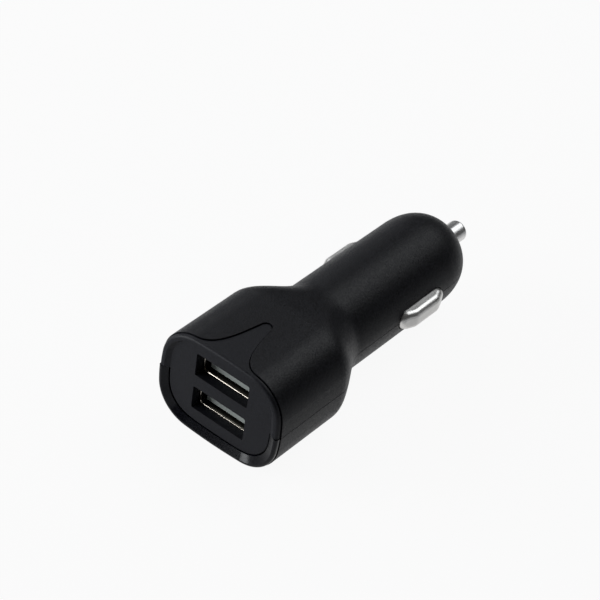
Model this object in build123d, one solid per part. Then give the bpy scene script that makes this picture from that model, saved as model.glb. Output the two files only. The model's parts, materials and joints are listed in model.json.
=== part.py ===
from build123d import *
import math
import os

# A charger plug for a car lighter socket, with two stacked USB ports in its head.
# Millimetres. +Y runs along the plug axis to the tip, +X to the right, +Z up.
# The origin is on the plug axis, where the neck ends and the round barrel begins.

# Housing outline
HEAD_WIDTH = 31.0
HEAD_HEIGHT = 23.7
HEAD_CORNER = 8.6
HEAD_LENGTH = 20.1
TOP_CROWN = 4.0
SIDE_CROWN = 6.0
NECK_LENGTH = 12.4
NECK_STATIONS = 8
BARREL_RADIUS = 10.4
GUIDE_LENGTH = 12.2
BARREL_LENGTH = 30.8
NOSE_RADIUS = 10.34
NOSE_LENGTH = 10.95
NOSE_FULLNESS = 0.66
WALL = 1.4
NOSE_WALL = 3.1
PARTING_WIDTH = 0.14
PARTING_DEPTH = 0.45

# Polished rim of the lower shell, round the lower half of the face
RIM_STEP = 0.16
RIM_BAND = 1.2
RIM_ROUND = 0.55
RIM_CREST = 0.95
RIM_DROP = 0.1
LIP_THICKNESS = 1.7

# Upper rim of the face plate, and the tongue that runs from it over the top of the head
BEZEL_STEP = 0.26
BEZEL_SET_BACK = 0.1
BEZEL_ROUND = 0.65
BEZEL_CREST = 1.4
BEZEL_GAP = 0.1
BEZEL_LAP = 0.75
BEZEL_EDGE = 0.16
TONGUE_REACH = 14.4
TONGUE_INSET = 7.5
TONGUE_TIP = 1.25
TONGUE_POINT = 1.0
TONGUE_FOOT_PULL = 0.45
TONGUE_WAIST_PULL = 0.42
TONGUE_WAIST = 2.6

# Face plate, inside a rim that is this wide at the sides and at the top and bottom
RIM_SIDE_WIDTH = 2.5
RIM_END_WIDTH = 2.05
PLATE_CORNER = 6.4
PLATE_RISE = 0.5
PLATE_SET_BACK = 0.8
PLATE_TILT = 0.6
PLATE_THICKNESS = 2.25
PLATE_FLANGE = 1.0
PLATE_EDGE = 0.15
PLATE_GAP = 0.2
SEAT_GAP = 0.05

# Ports
PORT_WIDTH = 13.45
PORT_HEIGHT = 5.6
PORT_CORNER = 0.35
PORT_PITCH = 8.6
PORT_RISE = 0.79
SOCKET_WIDTH = 12.5
SOCKET_HEIGHT = 5.12
SOCKET_CORNER = 0.6
SOCKET_LENGTH = 16.2
SHEET = 0.3
SHEET_LIP = 0.24
SOLDER_TAB = 2.4
TAB_HEIGHT = 3.0
DIVIDER_LENGTH = 9.6
DIVIDER_FOLD = 0.55
BLOCK_LENGTH = 6.2
PORT_TONGUE_WIDTH = 11.1
PORT_TONGUE_THICKNESS = 1.84
PORT_TONGUE_LIFT = 0.44
PORT_TONGUE_SET_BACK = 1.15
PIN_OFFSETS = (-3.5, -1.0, 1.0, 3.5)
PIN_WIDTH = 1.1
PIN_SHEET = 0.2
PIN_START = 0.8
PIN_DROP = 0.7
PIN_FOOT = 2.4
PIN_BEND = 0.45

# Circuit board
BOARD_THICKNESS = 1.2
BOARD_GAP = 0.9
BOARD_FRONT_WIDTH = 11.8
BOARD_HEAD_WIDTH = 19.0
BOARD_WIDTH = 15.6
BOARD_HEAD_LENGTH = 5.2
BOARD_FRONT_LENGTH = 2.8
BOARD_SHOULDER = 1.7
BOARD_TAIL_START = 11.2
BOARD_END = 28.4
RIB_THICKNESS = 1.2
RIB_HEIGHT = 5.0
RIB_OVERLAP = 1.3
RIB_PLACES = (3.2, 9.4)
CLAMP_SPACING = 8.0
CLAMP_LENGTH = 9.0
CLAMP_START = 5.5
STOP_WIDTH = 3.0
STOP_HEIGHT = 3.2
STOP_REACH = 2.0

# Centre pin
TIP_RADIUS = 2.4
TIP_REACH = 6.35
TIP_EDGE = 0.6
TIP_TRAVEL = 4.0
TIP_CLEARANCE = 0.2
COLLAR_RADIUS = 3.6
COLLAR_LENGTH = 1.2
TAIL_RADIUS = 1.6
TAIL_LENGTH = 2.4
POCKET_WALL = 1.0
POCKET_SPARE = 3.0
COIL_RADIUS = 2.6
COIL_WIRE = 0.55
COIL_TURNS = 6.0
TERMINAL_SHEET = 0.4
TERMINAL_SIZE = 6.4
TERMINAL_CORNER = 1.2
TERMINAL_LEG = 3.0
TERMINAL_LEG_WIDTH = 4.0

# Side contacts
CONTACT_PLACE = 20.55
CONTACT_LENGTH = 14.4
CONTACT_WIDTH = 4.4
CONTACT_REACH = 12.45
CONTACT_FLAT = 7.6
CONTACT_END_DROP = 1.4
CONTACT_CREASE = 3.0
CONTACT_EDGE = 1.3
CONTACT_CLEARANCE = 0.22
CONTACT_TRAVEL = 2.05
FLANGE_LENGTH = 17.2
FLANGE_WIDTH = 5.8
FLANGE_CORNER = 1.6
FLANGE_SHEET = 0.7
LEAF_LENGTH = 14.0
LEAF_SHEET = 0.25
LEAF_WIDTH = 3.0
LEAF_GAP = 0.1

# Parts on the board
INDUCTOR_PLACE = (0.0, 5.2)
INDUCTOR_RADIUS = 4.1
INDUCTOR_POST = 2.0
INDUCTOR_FLANGE = 1.1
INDUCTOR_HEIGHT = 5.2
WINDING_RADIUS = 3.6
CAN_RADIUS = 3.15
INPUT_CAN_LENGTH = 8.0
CAN_EDGE = 0.5
CAN_BEAD = 0.25
CAN_BEAD_PLACE = 1.6
LEAD_RADIUS = 0.25
LEAD_SPACING = 2.5
LEAD_REACH = 1.2
INPUT_CAN_PLACE = 17.0
OUTPUT_CAN_PLACE = (-3.8, -6.2)
OUTPUT_CAN_LENGTH = 6.0
CHIP_PLACE = (0.0, 5.0)
CHIP_SIZE = (3.9, 4.9, 1.45)
CHIP_LEG_PITCH = 1.27
CHIP_LEG = (1.05, 0.42, 0.2)
DIODE_PLACE = (0.0, 13.4)
DIODE_SIZE = (4.4, 3.6, 2.2)
DIODE_TAB = (0.7, 2.0, 0.3)
FUSE_PLACE = (0.0, 22.0)
FUSE_SIZE = (2.4, 4.6, 1.9)
FUSE_CAP = 0.9
SMALL_PART = (1.2, 2.0, 0.6)
SMALL_ROWS = (-7.4, -4.8, 0.2, 9.6)
SMALL_COLUMN = 4.6

# Worked out from the driving dimensions
FRONT = -(HEAD_LENGTH + NECK_LENGTH)
SHOULDER = -NECK_LENGTH
NOSE_END = BARREL_LENGTH + NOSE_LENGTH
NOSE_SEAT = NOSE_END - NOSE_WALL
SHELL_FRONT = FRONT + RIM_BAND
LIP_BACK = FRONT + LIP_THICKNESS
REACH = HEAD_WIDTH + BARREL_LENGTH + NOSE_LENGTH
TONGUE_FLARE = HEAD_WIDTH / 2 - TONGUE_INSET
PLATE_WIDTH = HEAD_WIDTH - 2 * RIM_SIDE_WIDTH
PLATE_HEIGHT = HEAD_HEIGHT - 2 * RIM_END_WIDTH
PLATE_FRONT = FRONT + PLATE_SET_BACK
PLATE_BACK = PLATE_FRONT + PLATE_THICKNESS
SOCKET_FRONT = PLATE_BACK + SEAT_GAP
SOCKET_BACK = SOCKET_FRONT + SOCKET_LENGTH
STACK_INSIDE = PORT_PITCH + SOCKET_HEIGHT
BOARD_FRONT = SOCKET_BACK + BOARD_GAP
COLLAR_FRONT = NOSE_SEAT - SEAT_GAP - COLLAR_LENGTH
TERMINAL_FACE = BOARD_END + TERMINAL_SHEET
POCKET_RADIUS = COLLAR_RADIUS + TIP_CLEARANCE
POCKET_LENGTH = COLLAR_LENGTH + TIP_TRAVEL + POCKET_SPARE
BORE_NEAR_CONTACT = NOSE_RADIUS - WALL
FLANGE_FACE = math.sqrt(BORE_NEAR_CONTACT**2 - (FLANGE_WIDTH / 2) ** 2) - SEAT_GAP
FLANGE_BACK = FLANGE_FACE - FLANGE_SHEET
BOARD_TAIL_WIDTH = 2 * (FLANGE_BACK - CONTACT_TRAVEL - LEAF_SHEET - SEAT_GAP)


def box(x, y, z):
    """A block between two limits on each axis."""
    size = (x[1] - x[0], y[1] - y[0], z[1] - z[0])
    middle = ((x[0] + x[1]) / 2, (y[0] + y[1]) / 2, (z[0] + z[1]) / 2)
    return Pos(*middle) * Box(*size)


def rod(radius, start, end):
    """A cylinder along the plug axis."""
    middle = (start + end) / 2
    return Pos(0, middle, 0) * Rot(90, 0, 0) * Cylinder(radius, end - start)


def both_sides(part):
    """A part on the right together with its mirror image on the left."""
    return part + mirror(part, about=Plane.YZ)


def outline(half_width, half_height, corner, y, grow=0.0, rise=0.0):
    """A closed face across the axis: four crowned sides and four corners, eight tangent arcs in all."""
    top = math.radians(TOP_CROWN)
    side = math.radians(SIDE_CROWN)
    across = half_width - corner
    up = half_height - corner
    scale = math.sin(top) * math.sin(side) - (1 - math.cos(top)) * (1 - math.cos(side))
    centre_x = (across * math.sin(side) - up * (1 - math.cos(side))) * math.sin(top) / scale
    centre_z = (up * math.sin(top) - across * (1 - math.cos(top))) * math.sin(side) / scale
    radius = corner + grow
    high = math.pi / 2 - top
    quarter = [(half_width + grow, 0.0)]
    for angle in (side, (side + high) / 2, high):
        quarter.append((centre_x + radius * math.cos(angle), centre_z + radius * math.sin(angle)))
    over = [(0.0, half_height + grow)] + [(-x, z) for x, z in reversed(quarter)]
    under = [(-x, -z) for x, z in quarter[1:] + over[:1]] + [(x, -z) for x, z in reversed(quarter[1:])]
    around = quarter + over + under
    points = [Vector(x, y, z + rise) for x, z in around[1:] + around[:1]]
    count = len(points)
    arcs = [ThreePointArc(points[i], points[i + 1], points[(i + 2) % count]) for i in range(0, count, 2)]
    return Face(Wire(arcs))


def head_outline(y, grow=0.0):
    return outline(HEAD_WIDTH / 2, HEAD_HEIGHT / 2, HEAD_CORNER, y, grow)


def plate_outline(y, grow=0.0):
    return outline(PLATE_WIDTH / 2, PLATE_HEIGHT / 2, PLATE_CORNER, y, grow, PLATE_RISE)


def plate_face(lift=0.0, grow=0.0):
    """The face plate's front, which leans forward at the top."""
    return Pos(0, PLATE_FRONT - lift, 0) * Rot(PLATE_TILT, 0, 0) * plate_outline(0.0, grow)


def neck_outline(share, grow):
    """Section of the neck, eased from the head's outline to the barrel's circle."""
    ease = share * share * (3 - 2 * share)

    def blend(head, barrel):
        return head + (barrel - head) * ease

    half_width = blend(HEAD_WIDTH / 2, BARREL_RADIUS)
    half_height = blend(HEAD_HEIGHT / 2, BARREL_RADIUS)
    corner = blend(HEAD_CORNER, BARREL_RADIUS)
    return outline(half_width, half_height, corner, SHOULDER + share * NECK_LENGTH, grow)


def along(face, length):
    """A prism along the plug axis."""
    return extrude(face, amount=length, dir=(0, 1, 0))


def plug_body(grow, front, nose_end):
    """The housing's whole outer form, moved in or out by an even amount."""
    head = along(head_outline(front, grow), SHOULDER - front)
    neck = loft([neck_outline(i / NECK_STATIONS, grow) for i in range(NECK_STATIONS + 1)])
    radius = BARREL_RADIUS + grow
    nose_radius = NOSE_RADIUS + grow
    dome = nose_end - BARREL_LENGTH
    side = Polyline((0, 0), (radius, 0), (radius, GUIDE_LENGTH), (nose_radius, BARREL_LENGTH))
    curve = Bezier(
        (nose_radius, BARREL_LENGTH),
        (nose_radius, BARREL_LENGTH + dome * NOSE_FULLNESS),
        (nose_radius * NOSE_FULLNESS, nose_end),
        (0, nose_end),
    )
    profile = make_face(side.edges() + curve.edges() + Line((0, nose_end), (0, 0)).edges())
    return head + neck + revolve(profile, Axis.Y)


def tongue_prism(grow=0.0):
    """Bell shaped outline on top of the head, from the rim to a rounded point."""
    base = SHELL_FRONT + grow
    point = FRONT + TONGUE_REACH + grow
    shoulder = point - TONGUE_POINT
    flare = TONGUE_FLARE + grow
    tip_half = TONGUE_TIP + grow
    right = Bezier(
        (flare, base),
        (flare * TONGUE_FOOT_PULL, base),
        (TONGUE_WAIST + grow, base + (shoulder - base) * TONGUE_WAIST_PULL),
        (tip_half, shoulder),
    )
    tip = ThreePointArc((tip_half, shoulder), (0, point), (-tip_half, shoulder))
    left = mirror(right, about=Plane.YZ)
    foot = Polyline((-flare, base), (-flare, FRONT), (flare, FRONT), (flare, base))
    face = make_face(right.edges() + tip.edges() + left.edges() + foot.edges())
    return extrude(face, amount=HEAD_HEIGHT)


def front_edge(body):
    """Edges round the frontmost face."""
    return body.faces().sort_by(Axis.Y)[0].edges()


def head_core():
    """The space that the head's wall encloses, also in front of it."""
    return along(head_outline(FRONT - WALL, -WALL), HEAD_LENGTH)


def is_brow(point):
    """Whether a point lies behind the rim and just under the head's top."""
    return point.Y > SHELL_FRONT - BEZEL_GAP and point.Z > HEAD_HEIGHT / 2 - WALL


def bezel():
    """Upper rim of the face plate with its tongue, set a step below the shell's surface."""
    front = FRONT + BEZEL_SET_BACK
    rim_back = SHELL_FRONT - BEZEL_GAP
    form = along(head_outline(front, -BEZEL_STEP), TONGUE_REACH)
    form = fillet(front_edge(form), BEZEL_ROUND)
    dish = loft([head_outline(front, -BEZEL_CREST), plate_face()])
    form -= dish + along(head_outline(front - WALL, -BEZEL_CREST), WALL)
    rim = form & box((-REACH, REACH), (front, rim_back), (0, REACH))
    back_edge = rim.faces().sort_by(Axis.Y)[-1].edges().filter_by(GeomType.CIRCLE)
    rim = fillet(back_edge, BEZEL_EDGE)
    lap = along(head_outline(rim_back, -BEZEL_LAP - SEAT_GAP), LIP_BACK - SEAT_GAP - rim_back)
    tongue = form & tongue_prism(-BEZEL_GAP)
    brow = [edge for edge in tongue.edges() if is_brow(edge.position_at(0.5))]
    tongue = fillet(brow, BEZEL_EDGE) - head_core()
    upper = box((-REACH, REACH), (-REACH, REACH), (PARTING_WIDTH / 2, REACH))
    return (rim + lap + tongue) & upper


def upper_form():
    """Upper shell's wall, open at the front for the bezel and notched for its tongue."""
    mouth = along(head_outline(SHELL_FRONT, -BEZEL_LAP), LIP_BACK - SHELL_FRONT)
    notch = tongue_prism() - head_core()
    return plug_body(0.0, SHELL_FRONT, NOSE_END) - mouth - notch


def lower_form():
    """Lower shell's wall, with the sunk rim dished towards the face plate."""
    start = FRONT - RIM_BAND
    band = along(head_outline(start, WALL), 2 * RIM_BAND)
    band -= along(head_outline(start, -RIM_STEP), 2 * RIM_BAND)
    body = plug_body(0.0, FRONT, NOSE_END) - band
    body = fillet(front_edge(body), RIM_ROUND)
    dish = loft([head_outline(FRONT, -RIM_CREST), plate_face(RIM_DROP, PLATE_GAP)])
    return body - dish - along(plate_outline(FRONT, PLATE_GAP), LIP_THICKNESS)


def contact_slot(length, width):
    """Round ended outline of a side contact, seen from the side."""
    return Plane((0, CONTACT_PLACE, 0), x_dir=(0, 1, 0), z_dir=(1, 0, 0)) * SlotOverall(length, width)


def shell_cuts():
    """Parting groove, side contact slots, and the centre pin's bore and pocket."""
    core = plug_body(-PARTING_DEPTH, FRONT + PARTING_DEPTH, NOSE_END - PARTING_DEPTH)
    half = PARTING_WIDTH / 2
    groove = box((-REACH, REACH), (-REACH, REACH), (-half, half)) - core
    play = 2 * CONTACT_CLEARANCE
    slots = extrude(contact_slot(CONTACT_LENGTH + play, CONTACT_WIDTH + play), amount=REACH, both=True)
    bore = rod(TIP_RADIUS + TIP_CLEARANCE, NOSE_SEAT - WALL, NOSE_END + WALL)
    pocket = rod(POCKET_RADIUS, NOSE_SEAT - POCKET_LENGTH, NOSE_SEAT)
    return groove + slots + bore + pocket


def spring_pocket():
    """Boss inside the nose, bored to guide the centre pin's collar and spring."""
    return rod(POCKET_RADIUS + POCKET_WALL, NOSE_SEAT - POCKET_LENGTH, NOSE_SEAT + NOSE_WALL / 2)


def ribs(board_face, socket_face, sign):
    """Ribs of one shell: board ledges, fins against the socket, and stops behind the face plate."""
    wall_z = sign * HEAD_HEIGHT / 2
    ledge_x = (BOARD_WIDTH / 2 - RIB_OVERLAP, BARREL_RADIUS)
    ledge_z = sorted((board_face, board_face + sign * RIB_HEIGHT))
    rib = None
    for y in RIB_PLACES:
        ledge = both_sides(box(ledge_x, (y, y + RIB_THICKNESS), ledge_z))
        rib = ledge if rib is None else rib + ledge
    fin_x = (CLAMP_SPACING / 2 - RIB_THICKNESS / 2, CLAMP_SPACING / 2 + RIB_THICKNESS / 2)
    fin_y = (SOCKET_FRONT + CLAMP_START, SOCKET_FRONT + CLAMP_START + CLAMP_LENGTH)
    rib += both_sides(box(fin_x, fin_y, sorted((socket_face, wall_z))))
    stop_x = (HEAD_WIDTH / 2 - WALL - STOP_REACH, HEAD_WIDTH / 2)
    stop_y = (PLATE_BACK + SEAT_GAP, PLATE_BACK + SEAT_GAP + RIB_THICKNESS)
    stop_z = sorted((sign * STOP_WIDTH, sign * (STOP_WIDTH + STOP_HEIGHT)))
    rib += both_sides(box(stop_x, stop_y, stop_z))
    return rib & plug_body(-WALL / 2, LIP_BACK, NOSE_SEAT)


def shells():
    """Upper and lower half of the housing, parted at the mid plane."""
    inside = plug_body(-WALL, LIP_BACK, NOSE_SEAT)
    cuts = shell_cuts()
    pocket = spring_pocket()
    stack = STACK_INSIDE / 2 + SHEET + SEAT_GAP
    upper = split(upper_form() - inside + pocket - cuts, Plane.XY, keep=Keep.TOP)
    lower = split(lower_form() - inside + pocket - cuts, Plane.XY, keep=Keep.BOTTOM)
    upper += ribs(BOARD_THICKNESS, PORT_RISE + stack, 1)
    lower += ribs(0.0, PORT_RISE - stack, -1)
    return upper, lower


def port_places():
    """Heights of the lower and the upper port's middle."""
    return PORT_RISE - PORT_PITCH / 2, PORT_RISE + PORT_PITCH / 2


def across(sketch, y, z):
    """A sketch set across the plug axis, facing the tip."""
    return Plane((0, y, z), x_dir=(1, 0, 0), z_dir=(0, 1, 0)) * sketch


def face_plate():
    """Plate with the port openings, the upper rim and the tongue, held behind the lower rim by its flange."""
    flange_front = PLATE_BACK - PLATE_FLANGE
    plate = along(plate_face(), PLATE_THICKNESS)
    plate = chamfer(front_edge(plate), PLATE_EDGE)
    plate &= box((-REACH, REACH), (FRONT, PLATE_BACK - PLATE_FLANGE / 2), (-REACH, REACH))
    plate += along(head_outline(flange_front, -WALL - SEAT_GAP), PLATE_FLANGE)
    plate += bezel()
    for z in port_places():
        opening = across(RectangleRounded(PORT_WIDTH, PORT_HEIGHT, PORT_CORNER), FRONT, z)
        plate -= extrude(opening, amount=PLATE_BACK - FRONT, dir=(0, 1, 0))
    return plate


def usb_shell():
    """Folded sheet round both ports, with a rounded mouth and a solder tab behind each side wall."""
    outer = RectangleRounded(SOCKET_WIDTH + 2 * SHEET, STACK_INSIDE + 2 * SHEET, SOCKET_CORNER + SHEET)
    wrap = outer - RectangleRounded(SOCKET_WIDTH, STACK_INSIDE, SOCKET_CORNER)
    shell = extrude(across(wrap, SOCKET_FRONT, PORT_RISE), amount=SOCKET_LENGTH, dir=(0, 1, 0))
    mouth = shell.faces().sort_by(Axis.Y)[0].inner_wires()[0]
    shell = fillet(mouth.edges(), SHEET_LIP)
    tab_z = ((BOARD_THICKNESS - TAB_HEIGHT) / 2, (BOARD_THICKNESS + TAB_HEIGHT) / 2)
    tab_x = (SOCKET_WIDTH / 2, SOCKET_WIDTH / 2 + SHEET)
    return shell + both_sides(box(tab_x, (SOCKET_BACK, SOCKET_BACK + SOLDER_TAB), tab_z))


def usb_divider():
    """Folded sheet between the ports: two leaves joined by a fold at the front."""
    half_width = SOCKET_WIDTH / 2 - SEAT_GAP
    half = (PORT_PITCH - SOCKET_HEIGHT) / 2
    end = SOCKET_FRONT + DIVIDER_LENGTH
    fold = box((-half_width, half_width), (SOCKET_FRONT, end), (PORT_RISE - half, PORT_RISE + half))
    fold = fillet(fold.edges().filter_by(Axis.X).group_by(Axis.Y)[0], DIVIDER_FOLD)
    inner = half - SHEET
    gap = box((-REACH, REACH), (SOCKET_FRONT + SHEET, end), (PORT_RISE - inner, PORT_RISE + inner))
    return fold - fillet(gap.edges().filter_by(Axis.X).group_by(Axis.Y)[0], DIVIDER_FOLD - SHEET)


def tongue_heights(middle):
    """Lower and upper face of a port's tongue."""
    low = middle - SOCKET_HEIGHT / 2 + PORT_TONGUE_LIFT
    return low, low + PORT_TONGUE_THICKNESS


def port_pins(middle, board_face, sign):
    """Four contact strips of a port: along the tongue, down behind the block and out on the board."""
    height = tongue_heights(middle)[1]
    bend = SOCKET_BACK + PIN_DROP
    foot = board_face + sign * PIN_SHEET / 2
    path = FilletPolyline(
        (SOCKET_FRONT + PORT_TONGUE_SET_BACK + PIN_START, height),
        (bend, height),
        (bend, foot),
        (bend + PIN_FOOT, foot),
        radius=PIN_BEND,
    )
    strip = extrude(Plane.YZ * trace(path, PIN_SHEET), amount=PIN_WIDTH / 2, both=True)
    return Compound([Pos(x, 0, 0) * strip.solid() for x in PIN_OFFSETS])


def usb_insulator(pins):
    """Moulded block at the back of the socket, with a tongue for each port."""
    half_width = SOCKET_WIDTH / 2 - SEAT_GAP
    half_height = STACK_INSIDE / 2 - SEAT_GAP
    block_front = SOCKET_BACK - BLOCK_LENGTH
    block_z = (PORT_RISE - half_height, PORT_RISE + half_height)
    block = box((-half_width, half_width), (block_front, SOCKET_BACK), block_z)
    block = fillet(block.edges().filter_by(Axis.Y), SOCKET_CORNER - SEAT_GAP)
    tongue_y = (SOCKET_FRONT + PORT_TONGUE_SET_BACK, block_front)
    tongue_x = (-PORT_TONGUE_WIDTH / 2, PORT_TONGUE_WIDTH / 2)
    for middle in port_places():
        block += box(tongue_x, tongue_y, tongue_heights(middle))
    for group in pins:
        for strip in group.solids():
            block -= strip
    return block


def circuit_board():
    """Board with a narrow front between the solder tabs, a wide head and a narrow tail."""
    head_start = BOARD_FRONT + BOARD_FRONT_LENGTH
    head_end = head_start + BOARD_HEAD_LENGTH
    right = [
        (BOARD_FRONT_WIDTH / 2, BOARD_FRONT),
        (BOARD_FRONT_WIDTH / 2, head_start),
        (BOARD_HEAD_WIDTH / 2, head_start),
        (BOARD_HEAD_WIDTH / 2, head_end),
        (BOARD_WIDTH / 2, head_end + BOARD_SHOULDER),
        (BOARD_WIDTH / 2, BOARD_TAIL_START),
        (BOARD_TAIL_WIDTH / 2, BOARD_TAIL_START),
        (BOARD_TAIL_WIDTH / 2, BOARD_END),
    ]
    left = [(-x, y) for x, y in reversed(right)]
    return extrude(make_face(Polyline(*right, *left, close=True)), amount=BOARD_THICKNESS)


def tip_contact():
    """Turned centre pin with a collar behind the nose and a tail inside the spring."""
    collar_back = COLLAR_FRONT + COLLAR_LENGTH
    pin = rod(TIP_RADIUS, collar_back, NOSE_END + TIP_REACH)
    pin = fillet(pin.edges().sort_by(Axis.Y)[-1], TIP_EDGE)
    collar = rod(COLLAR_RADIUS, COLLAR_FRONT, collar_back)
    return pin + collar + rod(TAIL_RADIUS, COLLAR_FRONT - TAIL_LENGTH, COLLAR_FRONT)


def tip_spring():
    """Coil spring between the board's terminal and the pin's collar."""
    length = COLLAR_FRONT - TERMINAL_FACE - COIL_WIRE - 2 * SEAT_GAP
    start = (0, TERMINAL_FACE + COIL_WIRE / 2 + SEAT_GAP, 0)
    path = Helix(length / COIL_TURNS, length, COIL_RADIUS, center=start, direction=(0, 1, 0))
    section = Plane(path @ 0, z_dir=path % 0) * Circle(COIL_WIRE / 2)
    return sweep(section, path)


def tip_terminal():
    """Spring seat on the board's end, with a leg on each face of the board."""
    seat = across(RectangleRounded(TERMINAL_SIZE, TERMINAL_SIZE, TERMINAL_CORNER), BOARD_END, 0)
    terminal = extrude(seat, amount=TERMINAL_SHEET, dir=(0, 1, 0))
    leg_x = (-TERMINAL_LEG_WIDTH / 2, TERMINAL_LEG_WIDTH / 2)
    leg_y = (BOARD_END - TERMINAL_LEG, BOARD_END)
    terminal += box(leg_x, leg_y, (-TERMINAL_SHEET, 0))
    return terminal + box(leg_x, leg_y, (BOARD_THICKNESS, BOARD_THICKNESS + TERMINAL_SHEET))


def outer_rim(boat):
    """Edges round the contact's outer face, without its two soft creases."""
    rim = ShapeList()
    for face in boat.faces():
        if face.normal_at().X > 0.5:
            rim += [edge for edge in face.edges() if abs(edge.center().Z) > CONTACT_EDGE]
            rim += [edge for edge in face.edges() if edge.geom_type != GeomType.LINE]
    return ShapeList(set(rim))


def side_contact():
    """Boat shaped contact on the right: flat crown, sloped ends, and a flange inside the barrel."""
    slope = CONTACT_END_DROP / (CONTACT_LENGTH - CONTACT_FLAT) * 2
    half = CONTACT_LENGTH / 2 + WALL
    low = CONTACT_REACH - slope * (half - CONTACT_FLAT / 2)
    near = CONTACT_PLACE - half
    far = CONTACT_PLACE + half
    crown = FilletPolyline(
        (low, near),
        (CONTACT_REACH, CONTACT_PLACE - CONTACT_FLAT / 2),
        (CONTACT_REACH, CONTACT_PLACE + CONTACT_FLAT / 2),
        (low, far),
        radius=CONTACT_CREASE,
    )
    inside = Polyline((low, far), (FLANGE_BACK, far), (FLANGE_BACK, near), (low, near))
    boat = extrude(make_face(crown.edges() + inside.edges()), amount=CONTACT_WIDTH, both=True)
    boat &= extrude(contact_slot(CONTACT_LENGTH, CONTACT_WIDTH), amount=CONTACT_REACH + WALL)
    boat = fillet(outer_rim(boat), CONTACT_EDGE)
    plate = RectangleRounded(FLANGE_LENGTH, FLANGE_WIDTH, FLANGE_CORNER)
    flange = Plane((FLANGE_BACK, CONTACT_PLACE, 0), x_dir=(0, 1, 0), z_dir=(1, 0, 0)) * plate
    return boat + extrude(flange, amount=FLANGE_SHEET)


def side_spring():
    """Bowed leaf between the board's edge and the right contact."""
    foot = BOARD_TAIL_WIDTH / 2 + LEAF_GAP + LEAF_SHEET / 2
    crest = FLANGE_BACK - SEAT_GAP - LEAF_SHEET / 2
    bow = ThreePointArc(
        (foot, CONTACT_PLACE - LEAF_LENGTH / 2),
        (crest, CONTACT_PLACE),
        (foot, CONTACT_PLACE + LEAF_LENGTH / 2),
    )
    low = (BOARD_THICKNESS - LEAF_WIDTH) / 2
    return Pos(0, 0, low) * extrude(trace(bow, LEAF_SHEET), amount=LEAF_WIDTH)


def inductor():
    """Drum core standing on the board, and the winding between its flanges."""
    x, y = INDUCTOR_PLACE
    base = BOARD_THICKNESS

    def disc(radius, low, high):
        return Pos(x, y, (low + high) / 2) * Cylinder(radius, high - low)

    lower_face = base + INDUCTOR_FLANGE
    upper_face = base + INDUCTOR_HEIGHT - INDUCTOR_FLANGE
    core = disc(INDUCTOR_RADIUS, base, lower_face) + disc(INDUCTOR_POST, lower_face, upper_face)
    core += disc(INDUCTOR_RADIUS, upper_face, base + INDUCTOR_HEIGHT)
    low = lower_face + SEAT_GAP
    high = upper_face - SEAT_GAP
    winding = disc(WINDING_RADIUS, low, high) - disc(INDUCTOR_POST + SEAT_GAP, low, high)
    return core, winding


def can(length):
    """Capacitor can along Z from the origin, with a rounded top and a rolled bead near its base."""
    body = Pos(0, 0, length / 2) * Cylinder(CAN_RADIUS, length)
    body = fillet(body.edges().sort_by(Axis.Z)[-1], CAN_EDGE)
    return body - Pos(0, 0, CAN_BEAD_PLACE) * Torus(CAN_RADIUS + CAN_BEAD / 2, CAN_BEAD)


def input_capacitor():
    """Can lying on the board, its two leads bent down to it."""
    height = BOARD_THICKNESS + CAN_RADIUS + SEAT_GAP
    base = Pos(0, INPUT_CAN_PLACE, height)
    part = base * Rot(-90, 0, 0) * can(INPUT_CAN_LENGTH)
    for x in (-LEAD_SPACING / 2, LEAD_SPACING / 2):
        lead = FilletPolyline(
            (x, INPUT_CAN_PLACE, height),
            (x, INPUT_CAN_PLACE - LEAD_REACH, height),
            (x, INPUT_CAN_PLACE - LEAD_REACH, BOARD_THICKNESS),
            radius=2 * LEAD_RADIUS,
        )
        section = Plane(lead @ 0, z_dir=lead % 0) * Circle(LEAD_RADIUS)
        part += sweep(section, lead)
    return part


def output_capacitor():
    """Can standing on the board in the neck."""
    x, y = OUTPUT_CAN_PLACE
    return Pos(x, y, BOARD_THICKNESS) * can(OUTPUT_CAN_LENGTH)


def converter_chip():
    """Flat package under the board with four legs on each side."""
    x, y = CHIP_PLACE
    width, length, height = CHIP_SIZE
    leg_reach, leg_width, leg_sheet = CHIP_LEG
    body_top = -leg_sheet
    part = box((-width / 2, width / 2), (-length / 2, length / 2), (body_top - height, body_top))
    part = chamfer(part.edges().filter_by(Axis.Z), leg_sheet)
    for i in range(4):
        place = (i - 1.5) * CHIP_LEG_PITCH
        leg_y = (place - leg_width / 2, place + leg_width / 2)
        knee = width / 2 + 2 * leg_sheet
        leg = box((knee - leg_sheet, width / 2 + leg_reach), leg_y, (-leg_sheet, 0))
        leg += box((knee - leg_sheet, knee), leg_y, (-height / 2, 0))
        leg += box((width / 2 - leg_sheet, knee), leg_y, (-height / 2 - leg_sheet, -height / 2))
        part += both_sides(leg)
    return Pos(x, y, 0) * part


def rectifier_diode():
    """Moulded diode under the board with a tab at each end."""
    x, y = DIODE_PLACE
    width, length, height = DIODE_SIZE
    tab_reach, tab_width, tab_sheet = DIODE_TAB
    part = box((-width / 2, width / 2), (-length / 2, length / 2), (-tab_sheet - height, -tab_sheet))
    part = chamfer(part.faces().sort_by(Axis.Z)[0].edges(), tab_sheet)
    tab_y = (-tab_width / 2, tab_width / 2)
    tab = box((width / 2 - tab_reach, width / 2 + tab_reach), tab_y, (-tab_sheet, 0))
    return Pos(x, y, 0) * (part + both_sides(tab))


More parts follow.
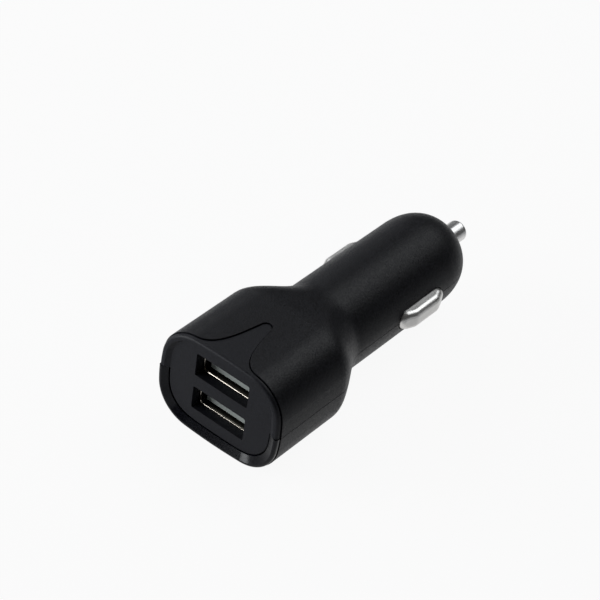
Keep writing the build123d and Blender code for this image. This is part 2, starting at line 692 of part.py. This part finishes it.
def fuse():
    """Surface mounted fuse under the board with a metal cap at each end."""
    x, y = FUSE_PLACE
    width, length, height = FUSE_SIZE
    part = box((-width / 2, width / 2), (-length / 2, length / 2), (-height, 0))
    waist = box((-width, width), (-length / 2 + FUSE_CAP, length / 2 - FUSE_CAP), (-2 * height, height))
    core = box(
        (-width / 2 + SEAT_GAP, width / 2 - SEAT_GAP),
        (-length / 2, length / 2),
        (-height + SEAT_GAP, -SEAT_GAP),
    )
    return Pos(x, y, 0) * (part - (waist - core))


def chip_parts():
    """Small resistors and capacitors in two columns under the board."""
    width, length, height = SMALL_PART
    parts = []
    for y in SMALL_ROWS:
        for x in (-SMALL_COLUMN, SMALL_COLUMN):
            x_limits = (x - width / 2, x + width / 2)
            parts.append(box(x_limits, (y - length / 2, y + length / 2), (-height, 0)).solid())
    return Compound(parts)


def main():
    upper, lower = shells()
    low_port, high_port = port_places()
    upper_pins = port_pins(high_port, BOARD_THICKNESS, 1)
    lower_pins = port_pins(low_port, 0.0, -1)
    right_contact = side_contact()
    right_spring = side_spring()
    core, winding = inductor()
    nodes = {
        "upper_shell": upper,
        "lower_shell": lower,
        "face_plate": face_plate(),
        "usb_shell": usb_shell(),
        "usb_divider": usb_divider(),
        "usb_insulator": usb_insulator((upper_pins, lower_pins)),
        "usb_contacts_upper": upper_pins,
        "usb_contacts_lower": lower_pins,
        "circuit_board": circuit_board(),
        "tip_contact": tip_contact(),
        "tip_spring": tip_spring(),
        "tip_terminal": tip_terminal(),
        "side_contact_right": right_contact,
        "side_contact_left": mirror(right_contact, about=Plane.YZ),
        "side_spring_right": right_spring,
        "side_spring_left": mirror(right_spring, about=Plane.YZ),
        "inductor_core": core,
        "inductor_winding": winding,
        "input_capacitor": input_capacitor(),
        "output_capacitor": output_capacitor(),
        "converter_chip": converter_chip(),
        "rectifier_diode": rectifier_diode(),
        "fuse": fuse(),
        "chip_parts": chip_parts(),
    }
    os.makedirs("parts", exist_ok=True)
    for name, shape in nodes.items():
        export_step(shape, f"parts/{name}.step")


main()
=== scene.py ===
import json
import math

import bmesh
import bpy
from mathutils import Matrix, Vector

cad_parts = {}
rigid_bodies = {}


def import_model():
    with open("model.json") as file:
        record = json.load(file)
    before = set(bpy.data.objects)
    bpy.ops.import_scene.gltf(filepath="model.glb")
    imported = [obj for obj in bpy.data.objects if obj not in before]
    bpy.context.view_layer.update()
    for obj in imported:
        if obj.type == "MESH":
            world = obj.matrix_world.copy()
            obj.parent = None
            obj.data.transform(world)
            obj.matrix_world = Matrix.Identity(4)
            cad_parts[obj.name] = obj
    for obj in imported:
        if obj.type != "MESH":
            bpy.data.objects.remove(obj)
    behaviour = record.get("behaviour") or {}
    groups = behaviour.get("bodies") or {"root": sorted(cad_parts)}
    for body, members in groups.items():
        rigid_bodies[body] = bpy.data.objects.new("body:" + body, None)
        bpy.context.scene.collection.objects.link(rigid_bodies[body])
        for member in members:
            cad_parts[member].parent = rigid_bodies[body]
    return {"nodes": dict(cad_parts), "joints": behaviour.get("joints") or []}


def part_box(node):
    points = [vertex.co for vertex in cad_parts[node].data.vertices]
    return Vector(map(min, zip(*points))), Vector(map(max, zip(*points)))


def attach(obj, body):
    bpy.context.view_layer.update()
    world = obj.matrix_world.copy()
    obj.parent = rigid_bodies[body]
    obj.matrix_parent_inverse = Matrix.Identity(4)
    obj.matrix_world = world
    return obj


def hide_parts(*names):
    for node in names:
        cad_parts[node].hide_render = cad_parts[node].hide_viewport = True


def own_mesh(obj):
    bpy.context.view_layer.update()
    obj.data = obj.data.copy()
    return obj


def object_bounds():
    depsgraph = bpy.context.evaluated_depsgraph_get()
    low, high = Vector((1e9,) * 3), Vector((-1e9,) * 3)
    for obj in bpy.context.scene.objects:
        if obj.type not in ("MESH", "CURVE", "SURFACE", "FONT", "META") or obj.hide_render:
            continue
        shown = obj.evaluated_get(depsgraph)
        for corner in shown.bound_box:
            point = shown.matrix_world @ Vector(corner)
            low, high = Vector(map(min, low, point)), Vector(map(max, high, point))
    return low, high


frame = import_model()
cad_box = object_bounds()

# A charger plug for a car lighter socket, on a plain pale floor in soft studio light.
# Metres, in the part's own frame: +Y along the plug axis to the tip, +X to the right, +Z up.
MM = 0.001

nodes = frame["nodes"]
floor_z = cad_box[0][2]
front_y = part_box("lower_shell")[0].y
sheet_front_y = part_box("usb_shell")[0].y

# Camera: where it looks, from which side, and how far away
CAMERA_TARGET = Vector((-6.77, 1.11, 2.64)) * MM
CAMERA_AZIMUTH = math.radians(33.59)
CAMERA_ELEVATION = math.radians(39.59)
CAMERA_ROLL = math.radians(9.01)
CAMERA_DISTANCE = 486.2 * MM
CAMERA_LENS = 142.1
CAMERA_SENSOR = 36.0
CAMERA_CLIP = 0.01

# Noise: its octaves, how strong the fine ones are, and the part of its range that is put to use
GRAIN_DETAIL = 3.0
GRAIN_SHARPNESS = 0.6
SPECKLE_SHARPNESS = 0.55
EVEN_SHARPNESS = 0.5
STREAK_DETAIL = 1.0
NOISE_RANGE = (0.3, 0.7)
FULL_RANGE = (0.0, 1.0)

# Black plastics. Tints are a darker and a lighter colour, gloss is a range of roughness
PLASTIC_SPECULAR = 0.27
SHELL_TINTS = ((0.0005, 0.0006, 0.0018), (0.0066, 0.0068, 0.0102))
SHELL_GLOSS = (0.36, 0.52)
SHELL_GRAIN = 0.36 * MM
SHELL_GRAIN_DEPTH = 0.06 * MM
SHELL_GRAIN_RANGE = (0.4, 0.6)
RIM_BAND = 1.2 * MM
RIM_ROUGHNESS = 0.14
PLATE_TINTS = ((0.0030, 0.0032, 0.0054), (0.0130, 0.0136, 0.0186))
PLATE_GLOSS = (0.45, 0.55)
PLATE_GRAIN = 0.34 * MM
PLATE_GRAIN_DEPTH = 0.04 * MM
EDGE_BLEND = 0.04 * MM

# Plated metals. A stretch under 1 draws a pattern out along that axis
TURNED_TINTS = ((0.73, 0.72, 0.71), (0.83, 0.825, 0.815))
TURNED_GLOSS = (0.27, 0.35)
TURNED_RING = 0.8 * MM
TURNED_STRETCH = (0.05, 1.0, 0.05)
TURNED_STAIN = 3.0 * MM
TURNED_STAIN_DETAIL = 3.0
STAMPED_TINTS = ((0.71, 0.7, 0.68), (0.8, 0.79, 0.775))
STAMPED_GLOSS = (0.3, 0.38)
STAMPED_LINE = 1.2 * MM
STAMPED_STRETCH = (1.0, 0.2, 1.0)
STAMPED_STAIN = 2.5 * MM
STAMPED_STAIN_DETAIL = 2.0
SHEET_LIP_TINTS = ((0.7, 0.63, 0.54), (0.8, 0.73, 0.64))
SHEET_LIP_GLOSS = (0.14, 0.2)
SHEET_LIP_DEPTH = 0.3 * MM
# Painted shade: the darker colours the sheet takes behind its lip, inside the ports
SHEET_PAINTED_SHADE_TINTS = ((0.045, 0.04, 0.034), (0.07, 0.063, 0.054))
SHEET_DULL_ROUGHNESS = 0.45
SHEET_LINE = 1.0 * MM

# Speckled finishes: the two tints, the gloss, the size and depth of the speckle, and how metallic
SPECKLED = {
    "gilt_pin": (
        ((0.72, 0.55, 0.25), (0.83, 0.66, 0.34)), (0.2, 0.32), 0.3 * MM, 0.003 * MM, 1.0),
    "spring_wire": (
        ((0.5, 0.5, 0.5), (0.66, 0.66, 0.65)), (0.22, 0.36), 0.5 * MM, 0.004 * MM, 1.0),
    "spring_leaf": (
        ((0.6, 0.5, 0.32), (0.74, 0.63, 0.43)), (0.2, 0.32), 0.4 * MM, 0.003 * MM, 1.0),
    "copper": (
        ((0.55, 0.2, 0.08), (0.75, 0.32, 0.15)), (0.25, 0.4), 0.4 * MM, 0.01 * MM, 1.0),
    "port_tongue": (
        ((0.33, 0.36, 0.34), (0.4, 0.43, 0.41)), (0.42, 0.52), 0.4 * MM, 0.006 * MM, 0.0),
    "board": (
        ((0.012, 0.07, 0.03), (0.02, 0.11, 0.05)), (0.3, 0.45), 0.8 * MM, 0.006 * MM, 0.0),
    "ferrite": (
        ((0.02, 0.02, 0.021), (0.045, 0.044, 0.043)), (0.6, 0.75), 0.3 * MM, 0.006 * MM, 0.0),
    "capacitor_can": (
        ((0.01, 0.01, 0.012), (0.02, 0.02, 0.024)), (0.3, 0.4), 1.0 * MM, 0.006 * MM, 0.0),
    "chip": (
        ((0.012, 0.012, 0.013), (0.025, 0.025, 0.026)), (0.5, 0.65), 0.15 * MM, 0.006 * MM, 0.0),
    "diode": (
        ((0.014, 0.014, 0.014), (0.028, 0.028, 0.028)), (0.5, 0.65), 0.15 * MM, 0.006 * MM, 0.0),
    "fuse": (
        ((0.55, 0.54, 0.5), (0.68, 0.67, 0.63)), (0.4, 0.55), 0.3 * MM, 0.006 * MM, 0.0),
    "chip_part": (
        ((0.32, 0.26, 0.19), (0.45, 0.38, 0.29)), (0.4, 0.55), 0.3 * MM, 0.006 * MM, 0.0),
}

# The nodes that wear each finish
WORN_BY = {
    "moulded_shell": ("upper_shell", "lower_shell"),
    "plate_plastic": ("face_plate",),
    "turned_nickel": ("tip_contact",),
    "stamped_nickel": ("side_contact_right", "side_contact_left", "tip_terminal"),
    "port_sheet": ("usb_shell", "usb_divider"),
    "port_tongue": ("usb_insulator",),
    "gilt_pin": ("usb_contacts_upper", "usb_contacts_lower"),
    "spring_wire": ("tip_spring",),
    "spring_leaf": ("side_spring_right", "side_spring_left"),
    "board": ("circuit_board",),
    "ferrite": ("inductor_core",),
    "copper": ("inductor_winding",),
    "capacitor_can": ("input_capacitor", "output_capacitor"),
    "chip": ("converter_chip",),
    "diode": ("rectifier_diode",),
    "fuse": ("fuse",),
    "chip_part": ("chip_parts",),
}

# Floor: a white card. Metal mirrors only the part of it round CARD_MIDDLE and behind CARD_FRONT
WHITE = (1.0, 1.0, 1.0, 1.0)
FLOOR_SIZE = 4.0
FLOOR_COLOUR = (0.82, 0.82, 0.82, 1.0)
FLOOR_GLOW_SHARE = 0.93
CARD_MIDDLE = (-30 * MM, 0.0, 0.0)
CARD_STRETCH = (1.0, 0.25, 0.0)
CARD_REACH = (48 * MM, 63 * MM)
CARD_FRONT = (-46 * MM, -26 * MM)
CARD_GLOW = 0.68
CARD_EDGE_GLOW = 0.05

# Light: the world's strength as light, in mirroring surfaces and to the camera, and the lamps
WORLD_DIM = 0.01
WORLD_MIRRORED = 0.06
WORLD_SEEN = 1.0
LAMP_DISTANCE = 0.8
LAMP_COLOUR = (0.95, 0.975, 1.0)
# Each softbox: azimuth and elevation in degrees, side in metres, power in watts
SOFTBOXES = {
    "top_softbox": (167, 56, 0.58, 2.1),
    "left_softbox": (243, 33, 0.42, 0.75),
    "high_left_softbox": (272, 60, 0.4, 0.3),
    "low_front_fill": (311, 12, 0.58, 6.3),
}

# The Mix node's colour sockets have to be picked by number, because their names repeat
MIX_COLOUR_A, MIX_COLOUR_B, MIX_COLOUR_RESULT = 6, 7, 2


def new_material(name, tints, gloss, metallic=0.0):
    """A material whose even values sit on the shader's own sockets."""
    material = bpy.data.materials.new(name)
    material.use_nodes = True
    shader = material.node_tree.nodes["Principled BSDF"]
    middle = [sum(pair) / 2 for pair in zip(*tints)]
    shader.inputs["Base Color"].default_value = (*middle, 1.0)
    shader.inputs["Roughness"].default_value = sum(gloss) / 2
    shader.inputs["Metallic"].default_value = metallic
    return material, shader


def add_node(owner, kind, inputs=None, **settings):
    """A shader node with its settings, and with its input sockets set or linked."""
    node = owner.node_tree.nodes.new(kind)
    for name, value in settings.items():
        setattr(node, name, value)
    for name, value in (inputs or {}).items():
        if isinstance(value, bpy.types.NodeSocket):
            connect(owner, value, node.inputs[name])
        else:
            node.inputs[name].default_value = value
    return node


def connect(owner, output, socket):
    owner.node_tree.links.new(output, socket)


def object_place(material, stretch=(1.0, 1.0, 1.0)):
    """Object coordinates, stretched where a pattern runs along one direction."""
    place = add_node(material, "ShaderNodeTexCoord").outputs["Object"]
    inputs = {"Vector": place, "Scale": stretch}
    return add_node(material, "ShaderNodeMapping", inputs).outputs["Vector"]


def noise(material, size, place, detail, sharpness=EVEN_SHARPNESS):
    """Noise whose features are about the given size."""
    inputs = {"Vector": place, "Scale": 1.0 / size, "Detail": detail, "Roughness": sharpness}
    return add_node(material, "ShaderNodeTexNoise", inputs).outputs["Fac"]


def spread(owner, value, target, source=NOISE_RANGE):
    """A value carried from one range to another, and held at its ends."""
    inputs = {
        "Value": value,
        "From Min": source[0],
        "From Max": source[1],
        "To Min": target[0],
        "To Max": target[1],
    }
    return add_node(owner, "ShaderNodeMapRange", inputs).outputs["Result"]


def tint(material, factor, tints):
    """A colour between a darker and a lighter one, by a factor."""
    ramp = add_node(material, "ShaderNodeValToRGB", {"Fac": factor})
    for element, colour in zip(ramp.color_ramp.elements, tints):
        element.color = (*colour, 1.0)
    return ramp.outputs["Color"]


def bump(material, shader, height, depth):
    inputs = {"Height": height, "Distance": depth, "Strength": 1.0}
    normal = add_node(material, "ShaderNodeBump", inputs).outputs["Normal"]
    connect(material, normal, shader.inputs["Normal"])


def math_node(owner, operation, first, second):
    inputs = {0: first, 1: second}
    return add_node(owner, "ShaderNodeMath", inputs, operation=operation).outputs["Value"]


def vector_math(owner, operation, *vectors):
    inputs = dict(enumerate(vectors))
    return add_node(owner, "ShaderNodeVectorMath", inputs, operation=operation).outputs


def mix(owner, factor, first, second):
    """A number between two, by a factor."""
    inputs = {"Factor": factor, "A": first, "B": second}
    return add_node(owner, "ShaderNodeMix", inputs).outputs["Result"]


def below(material, value, limit):
    """1 where a value is under a limit and 0 above it, with a soft edge."""
    return spread(material, value, (1.0, 0.0), (limit - EDGE_BLEND, limit + EDGE_BLEND))


def both(owner, first, second):
    return math_node(owner, "MULTIPLY", first, second)


def axis_parts(material, place):
    """The X, Y and Z of a place."""
    return add_node(material, "ShaderNodeSeparateXYZ", {"Vector": place}).outputs


def moulded_shell(name):
    """Black moulded plastic: grain all over, and a polished rim at the lower half's front."""
    material, shader = new_material(name, SHELL_TINTS, SHELL_GLOSS)
    shader.inputs["Specular IOR Level"].default_value = PLASTIC_SPECULAR
    place = object_place(material)
    grain = noise(material, SHELL_GRAIN, place, GRAIN_DETAIL, GRAIN_SHARPNESS)
    split = axis_parts(material, place)
    rim = below(material, split["Y"], front_y + RIM_BAND)
    polished = both(material, rim, below(material, split["Z"], 0.0))
    shade = spread(material, grain, FULL_RANGE, SHELL_GRAIN_RANGE)
    connect(material, tint(material, shade, SHELL_TINTS), shader.inputs["Base Color"])
    matte = spread(material, grain, SHELL_GLOSS, SHELL_GRAIN_RANGE)
    gloss = mix(material, polished, matte, RIM_ROUGHNESS)
    connect(material, gloss, shader.inputs["Roughness"])
    relief = spread(material, polished, (1.0, 0.0), FULL_RANGE)
    bump(material, shader, both(material, grain, relief), SHELL_GRAIN_DEPTH)
    return material


def plate_plastic(name):
    """Finely sparked black plastic of the face plate, its rim and its tongue."""
    material, shader = new_material(name, PLATE_TINTS, PLATE_GLOSS)
    shader.inputs["Specular IOR Level"].default_value = PLASTIC_SPECULAR
    place = object_place(material)
    grain = noise(material, PLATE_GRAIN, place, GRAIN_DETAIL, GRAIN_SHARPNESS)
    shade = spread(material, grain, FULL_RANGE)
    connect(material, tint(material, shade, PLATE_TINTS), shader.inputs["Base Color"])
    connect(material, spread(material, grain, PLATE_GLOSS), shader.inputs["Roughness"])
    bump(material, shader, grain, PLATE_GRAIN_DEPTH)
    return material


def turned_nickel(name):
    """Bright nickel plate over turned brass, with faint rings round the plug axis."""
    material, shader = new_material(name, TURNED_TINTS, TURNED_GLOSS, 1.0)
    rings = noise(material, TURNED_RING, object_place(material, TURNED_STRETCH), STREAK_DETAIL)
    stain = noise(material, TURNED_STAIN, object_place(material), TURNED_STAIN_DETAIL)
    connect(material, tint(material, stain, TURNED_TINTS), shader.inputs["Base Color"])
    connect(material, spread(material, rings, TURNED_GLOSS), shader.inputs["Roughness"])
    return material


def stamped_nickel(name):
    """Satin nickel plate of the side contacts, a little uneven in colour and gloss."""
    material, shader = new_material(name, STAMPED_TINTS, STAMPED_GLOSS, 1.0)
    lines = noise(material, STAMPED_LINE, object_place(material, STAMPED_STRETCH), STREAK_DETAIL)
    stain = noise(material, STAMPED_STAIN, object_place(material), STAMPED_STAIN_DETAIL)
    connect(material, tint(material, stain, STAMPED_TINTS), shader.inputs["Base Color"])
    connect(material, spread(material, lines, STAMPED_GLOSS), shader.inputs["Roughness"])
    return material


def port_sheet(name):
    """Warm plated sheet of the port shells: bright on its lip, with painted shade further in,
    where its colour is darkened.
    """
    material, shader = new_material(name, SHEET_LIP_TINTS, SHEET_LIP_GLOSS, 1.0)
    lines = noise(material, SHEET_LINE, object_place(material, STAMPED_STRETCH), STREAK_DETAIL)
    depth = axis_parts(material, object_place(material))["Y"]
    # 1 on the lip; further in, the sheet takes the painted shade colours
    lip = below(material, depth, sheet_front_y + SHEET_LIP_DEPTH)
    colours = {
        "Factor": lip,
        MIX_COLOUR_A: tint(material, lines, SHEET_PAINTED_SHADE_TINTS),
        MIX_COLOUR_B: tint(material, lines, SHEET_LIP_TINTS),
    }
    colour = add_node(material, "ShaderNodeMix", data_type="RGBA", inputs=colours)
    connect(material, colour.outputs[MIX_COLOUR_RESULT], shader.inputs["Base Color"])
    gloss = mix(material, lip, SHEET_DULL_ROUGHNESS, spread(material, lines, SHEET_LIP_GLOSS))
    connect(material, gloss, shader.inputs["Roughness"])
    return material


def speckled(name):
    """A plain finish with its own speckle in colour, gloss and surface."""
    tints, gloss, size, depth, metallic = SPECKLED[name]
    material, shader = new_material(name, tints, gloss, metallic)
    grain = noise(material, size, object_place(material), GRAIN_DETAIL, SPECKLE_SHARPNESS)
    connect(material, tint(material, grain, tints), shader.inputs["Base Color"])
    connect(material, spread(material, grain, gloss), shader.inputs["Roughness"])
    bump(material, shader, grain, depth)
    return material


def dress_frame():
    """Puts a finish on every carried node."""
    makers = {
        "moulded_shell": moulded_shell,
        "plate_plastic": plate_plastic,
        "turned_nickel": turned_nickel,
        "stamped_nickel": stamped_nickel,
        "port_sheet": port_sheet,
    }
    for finish, wearers in WORN_BY.items():
        material = makers.get(finish, speckled)(finish)
        for wearer in wearers:
            mesh = nodes[wearer].data
            mesh.materials.clear()
            mesh.materials.append(material)


def shorten_springs():
    """Each spring is swapped for a copy of its mesh, hung on its joint's parent body."""
    for joint in frame["joints"]:
        for spring in joint["deforming_nodes"]:
            name = spring["node"]
            piece = bpy.data.objects.new(f"{name}_sprung", nodes[name].data.copy())
            bpy.context.scene.collection.objects.link(piece)
            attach(piece, joint["parent"])
            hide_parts(name)
            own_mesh(piece)


def ray_kinds(owner):
    """1 for rays from the camera, and 1 for rays from a mirroring or clear surface."""
    path = add_node(owner, "ShaderNodeLightPath").outputs
    mirrored = math_node(owner, "MAXIMUM", path["Is Glossy Ray"], path["Is Transmission Ray"])
    return path["Is Camera Ray"], mirrored


def floor_finish():
    """White card: bright to the camera and in mirroring metal, with the plug's shadow kept."""
    material = bpy.data.materials.new("white_card")
    material.use_nodes = True
    tree = material.node_tree
    tree.nodes.remove(tree.nodes["Principled BSDF"])
    camera_ray, mirrored = ray_kinds(material)
    place = add_node(material, "ShaderNodeTexCoord").outputs["Object"]
    apart = vector_math(material, "SUBTRACT", place, CARD_MIDDLE)["Vector"]
    flat = vector_math(material, "MULTIPLY", apart, CARD_STRETCH)["Vector"]
    away = vector_math(material, "LENGTH", flat)["Value"]
    reached = spread(material, away, (CARD_GLOW, CARD_EDGE_GLOW), CARD_REACH)
    depth = axis_parts(material, place)["Y"]
    behind = spread(material, depth, (CARD_EDGE_GLOW, 1.0), CARD_FRONT)
    near = both(material, mirrored, both(material, behind, reached))
    seen = math_node(material, "MAXIMUM", camera_ray, near)
    share = both(material, seen, FLOOR_GLOW_SHARE)
    card = add_node(material, "ShaderNodeBsdfDiffuse", {"Color": FLOOR_COLOUR})
    glow = add_node(material, "ShaderNodeEmission", {"Color": WHITE, "Strength": 1.0})
    shaders = {0: share, 1: card.outputs[0], 2: glow.outputs[0]}
    mixed = add_node(material, "ShaderNodeMixShader", shaders)
    connect(material, mixed.outputs[0], tree.nodes["Material Output"].inputs["Surface"])
    return material


def lay_floor():
    """A wide card under the lowest point of the plug."""
    bm = bmesh.new()
    bmesh.ops.create_grid(bm, x_segments=2, y_segments=2, size=FLOOR_SIZE / 2)
    bmesh.ops.translate(bm, verts=bm.verts, vec=(0.0, 0.0, floor_z))
    mesh = bpy.data.meshes.new("floor")
    bm.to_mesh(mesh)
    bm.free()
    floor = bpy.data.objects.new("floor", mesh)
    bpy.context.scene.collection.objects.link(floor)
    mesh.materials.append(floor_finish())


def direction(azimuth, elevation):
    """Unit vector from the plug towards a camera or lamp. Azimuth 0 is in front, along -Y."""
    flat = math.cos(elevation)
    return Vector((math.sin(azimuth) * flat, -math.cos(azimuth) * flat, math.sin(elevation)))


def facing(away):
    """The turn of a lamp or camera that looks back along a direction."""
    return away.to_track_quat("Z", "Y").to_matrix().to_4x4()


def add_softbox(name, azimuth, elevation, size, power):
    """A square area light that faces the plug's middle."""
    lamp = bpy.data.lights.new(name, "AREA")
    lamp.shape = "SQUARE"
    lamp.size = size
    lamp.energy = power
    lamp.color = LAMP_COLOUR
    box = bpy.data.objects.new(name, lamp)
    away = direction(math.radians(azimuth), math.radians(elevation))
    box.matrix_world = Matrix.Translation(away * LAMP_DISTANCE) @ facing(away)
    box.visible_camera = False
    bpy.context.scene.collection.objects.link(box)


def light_studio():
    """A backdrop that is white to the camera and dim as light, and the softboxes."""
    world = bpy.data.worlds.new("studio")
    bpy.context.scene.world = world
    world.use_nodes = True
    backdrop = world.node_tree.nodes["Background"]
    backdrop.inputs["Color"].default_value = WHITE
    camera_ray, mirrored = ray_kinds(world)
    unseen = mix(world, mirrored, WORLD_DIM, WORLD_MIRRORED)
    connect(world, mix(world, camera_ray, unseen, WORLD_SEEN), backdrop.inputs["Strength"])
    for name, (azimuth, elevation, size, power) in SOFTBOXES.items():
        add_softbox(name, azimuth, elevation, size, power)


def place_camera():
    camera = bpy.data.cameras.new("camera")
    camera.lens = CAMERA_LENS
    camera.sensor_width = CAMERA_SENSOR
    camera.clip_start = CAMERA_CLIP
    away = direction(CAMERA_AZIMUTH, CAMERA_ELEVATION)
    turn = facing(away) @ Matrix.Rotation(CAMERA_ROLL, 4, "Z")
    holder = bpy.data.objects.new("camera", camera)
    holder.matrix_world = Matrix.Translation(CAMERA_TARGET + away * CAMERA_DISTANCE) @ turn
    bpy.context.scene.collection.objects.link(holder)
    bpy.context.scene.camera = holder


dress_frame()
shorten_springs()
lay_floor()
light_studio()
place_camera()
bpy.context.scene.view_settings.view_transform = "Standard"
